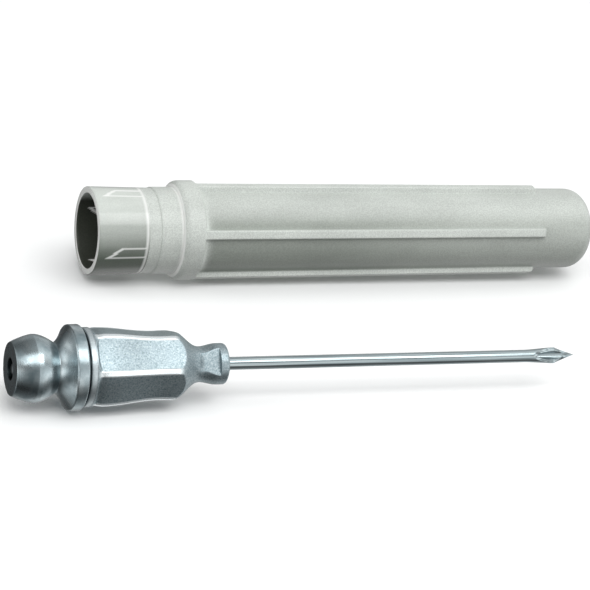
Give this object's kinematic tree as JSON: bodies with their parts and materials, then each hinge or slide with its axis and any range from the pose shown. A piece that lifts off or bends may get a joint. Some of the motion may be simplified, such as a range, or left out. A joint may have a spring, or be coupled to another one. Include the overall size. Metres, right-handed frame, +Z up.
{
  "type": "grease injector needle with sheath",
  "caption": "Hollow injector needle on a ridged crimped metal hub, with a grease nipple head and sprung check ball at its back and a ribbed translucent plastic sheath lying beside it.",
  "frame": {"origin": "on the needle's axis, at the middle of the widest band of the grease head", "axes": "+X along the needle towards its point; +Z up, with both pieces lying on the plane z = -0.0041; +Y towards the sheath, which lies parallel behind the needle"},
  "size_m": [0.0731, 0.038, 0.0106],
  "materials": {
    "plated_steel": "turned and plated, satin",
    "bearing_steel": "polished",
    "spring_steel": "drawn wire",
    "cast_metal": "pressed and plated, fine satin grain",
    "stainless": "drawn and polished lengthways",
    "clear_plastic": "moulded, translucent, softly frosted"
  },
  "bodies": {
    "needle_assembly": {"grease_fitting": "plated_steel", "check_spring": "spring_steel", "hub": "cast_metal", "needle_tube": "stainless"},
    "check_ball": {"check_ball": "bearing_steel"},
    "sheath": {"sheath": "clear_plastic"}
  },
  "joints": [
    {"name": "check_ball_lift", "type": "slide", "parent": "needle_assembly", "child": "check_ball", "axis": [1, 0, 0], "range_m": [0, 0.0008], "stiffness_N_per_m": 200, "springref_m": -0.003, "deforming": ["check_spring"]},
    {"name": "sheath_pull", "type": "slide", "parent": "needle_assembly", "child": "sheath", "axis": [1, 0, 0], "range_m": [0, 0.055]}
  ]
}
